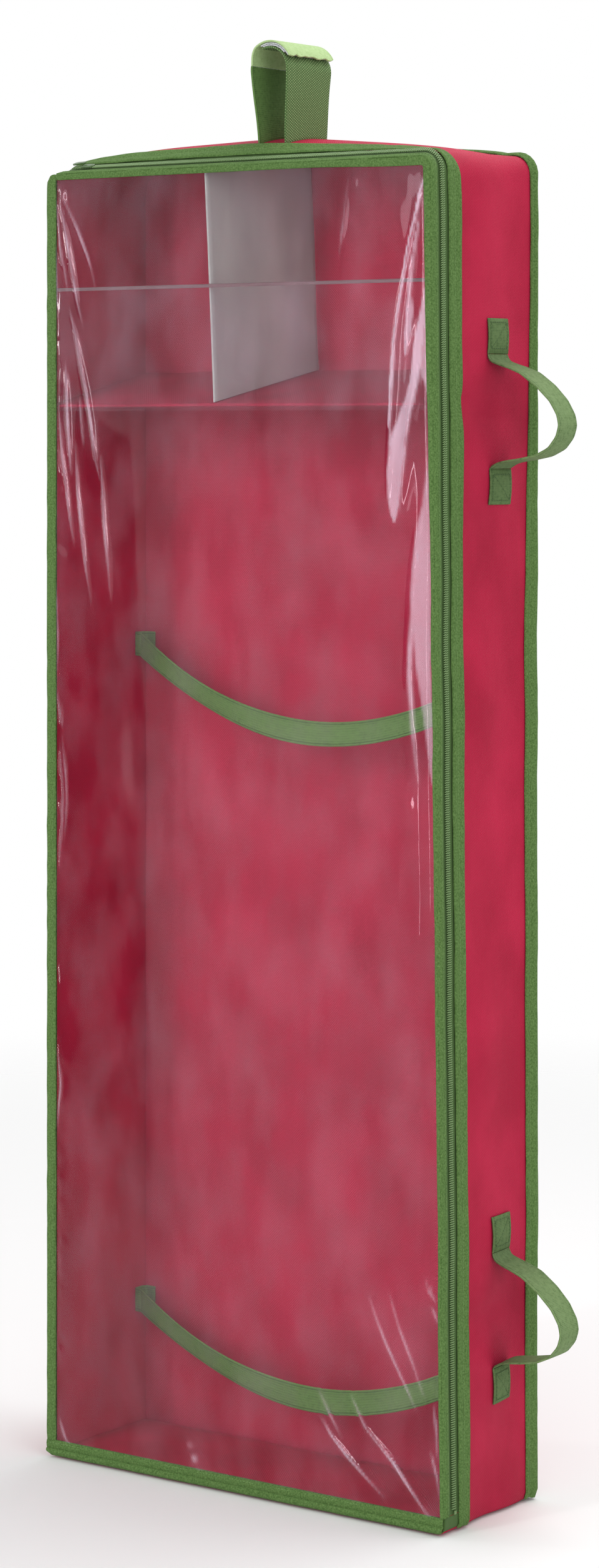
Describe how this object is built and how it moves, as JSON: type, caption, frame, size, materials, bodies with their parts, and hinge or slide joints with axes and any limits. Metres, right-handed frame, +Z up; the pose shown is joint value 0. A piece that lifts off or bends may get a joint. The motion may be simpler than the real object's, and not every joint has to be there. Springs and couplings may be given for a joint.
{
  "type": "gift wrap organizer",
  "caption": "Hanging gift wrap organizer: tall crimson fabric box, clear zipped front, sloping divided shelf, retaining straps, hook-and-loop rod strap and side carry handles.",
  "frame": {"origin": "axis of the closet rod that the hang strap wraps, midway along the strap's width", "axes": "+Z up, -Y out of the clear front, +X towards the side with the carry handles"},
  "size_m": [0.4491, 0.129, 1.1286],
  "materials": {
    "back_binding_bottom": "green grosgrain seam binding",
    "back_binding_left": "green grosgrain seam binding",
    "back_binding_top_right": "green grosgrain seam binding",
    "back_panel": "crimson non-woven fabric with a fine emboss",
    "base_board": "stiff grey board",
    "body_binding": "green grosgrain seam binding",
    "bottom_panel": "crimson non-woven fabric with a fine emboss",
    "divider_board": "stiff grey board",
    "hang_strap_flap": "pale green webbing flap",
    "hang_strap_left_leg": "green coarse webbing",
    "hang_strap_right_leg": "green coarse webbing",
    "hook_tape": "white hook-and-loop tape",
    "left_side_panel": "crimson non-woven fabric with a fine emboss",
    "loop_tape": "white hook-and-loop tape",
    "lower_handle": "green woven webbing",
    "lower_handle_bottom_tab": "green woven webbing",
    "lower_handle_top_tab": "green woven webbing",
    "lower_retaining_strap": "green woven strap",
    "lower_retaining_strap_left_tab": "green woven strap",
    "lower_retaining_strap_right_tab": "green woven strap",
    "pocket_hem": "thin grey-beige hem tape",
    "pocket_sheet": "clear soft vinyl sheet, glossy",
    "shelf_board": "stiff grey board",
    "shelf_sleeve": "crimson non-woven fabric with a fine emboss",
    "top_and_right_panel": "crimson non-woven fabric with a fine emboss",
    "upper_handle": "green woven webbing",
    "upper_handle_bottom_tab": "green woven webbing",
    "upper_handle_top_tab": "green woven webbing",
    "upper_retaining_strap": "green woven strap",
    "upper_retaining_strap_left_tab": "green woven strap",
    "upper_retaining_strap_right_tab": "green woven strap",
    "window_binding_bottom": "green grosgrain seam binding",
    "window_binding_flap": "green grosgrain seam binding",
    "window_binding_left": "green grosgrain seam binding",
    "window_flap": "clear soft vinyl sheet, glossy",
    "window_lower": "clear soft vinyl sheet, glossy",
    "zip_bottom_end_tab": "green woven zip tape",
    "zip_bottom_stop": "green nylon zip coil",
    "zip_coil_body": "green nylon zip coil",
    "zip_coil_door": "green nylon zip coil",
    "zip_pull_tab": "green enamelled metal",
    "zip_slider": "green enamelled metal",
    "zip_tape_body": "green woven zip tape",
    "zip_tape_door": "green woven zip tape",
    "zip_top_end_tab": "pale green turned fabric end",
    "zip_top_stop": "green nylon zip coil"
  },
  "bodies": {
    "organizer_body": {"back_binding_bottom": "back_binding_bottom", "back_binding_left": "back_binding_left", "back_binding_top_right": "back_binding_top_right", "back_panel": "back_panel", "base_board": "base_board", "body_binding": "body_binding", "bottom_panel": "bottom_panel", "divider_board": "divider_board", "hang_strap_left_leg": "hang_strap_left_leg", "hang_strap_right_leg": "hang_strap_right_leg", "left_side_panel": "left_side_panel", "loop_tape": "loop_tape", "lower_handle_bottom_tab": "lower_handle_bottom_tab", "lower_handle_top_tab": "lower_handle_top_tab", "lower_retaining_strap_left_tab": "lower_retaining_strap_left_tab", "lower_retaining_strap_right_tab": "lower_retaining_strap_right_tab", "pocket_hem": "pocket_hem", "pocket_sheet": "pocket_sheet", "shelf_board": "shelf_board", "shelf_sleeve": "shelf_sleeve", "top_and_right_panel": "top_and_right_panel", "upper_handle_bottom_tab": "upper_handle_bottom_tab", "upper_handle_top_tab": "upper_handle_top_tab", "upper_retaining_strap_left_tab": "upper_retaining_strap_left_tab", "upper_retaining_strap_right_tab": "upper_retaining_strap_right_tab", "window_binding_bottom": "window_binding_bottom", "window_binding_left": "window_binding_left", "window_lower": "window_lower", "zip_bottom_end_tab": "zip_bottom_end_tab", "zip_bottom_stop": "zip_bottom_stop", "zip_coil_body": "zip_coil_body", "zip_tape_body": "zip_tape_body", "zip_top_end_tab": "zip_top_end_tab", "zip_top_stop": "zip_top_stop"},
    "front_flap": {"window_flap": "window_flap", "window_binding_flap": "window_binding_flap", "zip_tape_door": "zip_tape_door", "zip_coil_door": "zip_coil_door"},
    "zip_slider": {"zip_slider": "zip_slider"},
    "zip_pull_tab": {"zip_pull_tab": "zip_pull_tab"},
    "upper_handle": {"upper_handle": "upper_handle"},
    "lower_handle": {"lower_handle": "lower_handle"},
    "upper_retaining_strap": {"upper_retaining_strap": "upper_retaining_strap"},
    "lower_retaining_strap": {"lower_retaining_strap": "lower_retaining_strap"},
    "hang_strap_flap": {"hang_strap_flap": "hang_strap_flap", "hook_tape": "hook_tape"}
  },
  "joints": [
    {"name": "front_flap_fold", "type": "hinge", "parent": "organizer_body", "child": "front_flap", "pos_m": [-0.1867, -0.064, -0.0845], "axis": [0.3401, 0, -0.9404], "range_deg": [0, 150]},
    {"name": "zip_slider_run", "type": "slide", "parent": "organizer_body", "child": "zip_slider", "axis": [1, 0, 0], "range_m": [0, 0.3]},
    {"name": "zip_pull_swing", "type": "hinge", "parent": "zip_slider", "child": "zip_pull_tab", "pos_m": [-0.1665, -0.05075, -0.06801], "axis": [0, 0.9063, 0.4226], "range_deg": [0, 160]},
    {"name": "upper_handle_swing", "type": "hinge", "parent": "organizer_body", "child": "upper_handle", "pos_m": [0.18313, 0.013, -0.268], "axis": [0, 0, 1], "range_deg": [-40, 40]},
    {"name": "lower_handle_swing", "type": "hinge", "parent": "organizer_body", "child": "lower_handle", "pos_m": [0.18632, 0.013, -0.95], "axis": [0, 0, 1], "range_deg": [-40, 40]},
    {"name": "upper_retaining_strap_swing", "type": "hinge", "parent": "organizer_body", "child": "upper_retaining_strap", "pos_m": [-0.18801, 0.04794, -0.45943], "axis": [0.9818, -0.1762, -0.071], "range_deg": [-30, 30]},
    {"name": "lower_retaining_strap_swing", "type": "hinge", "parent": "organizer_body", "child": "lower_retaining_strap", "pos_m": [-0.18799, 0.04795, -1.00191], "axis": [0.9845, -0.175, 0.0157], "range_deg": [-30, 30]},
    {"name": "hang_strap_flap_fold", "type": "hinge", "parent": "organizer_body", "child": "hang_strap_flap", "pos_m": [-0.01753, 0, 0.00309], "axis": [0, -1, 0], "range_deg": [0, 150]}
  ]
}
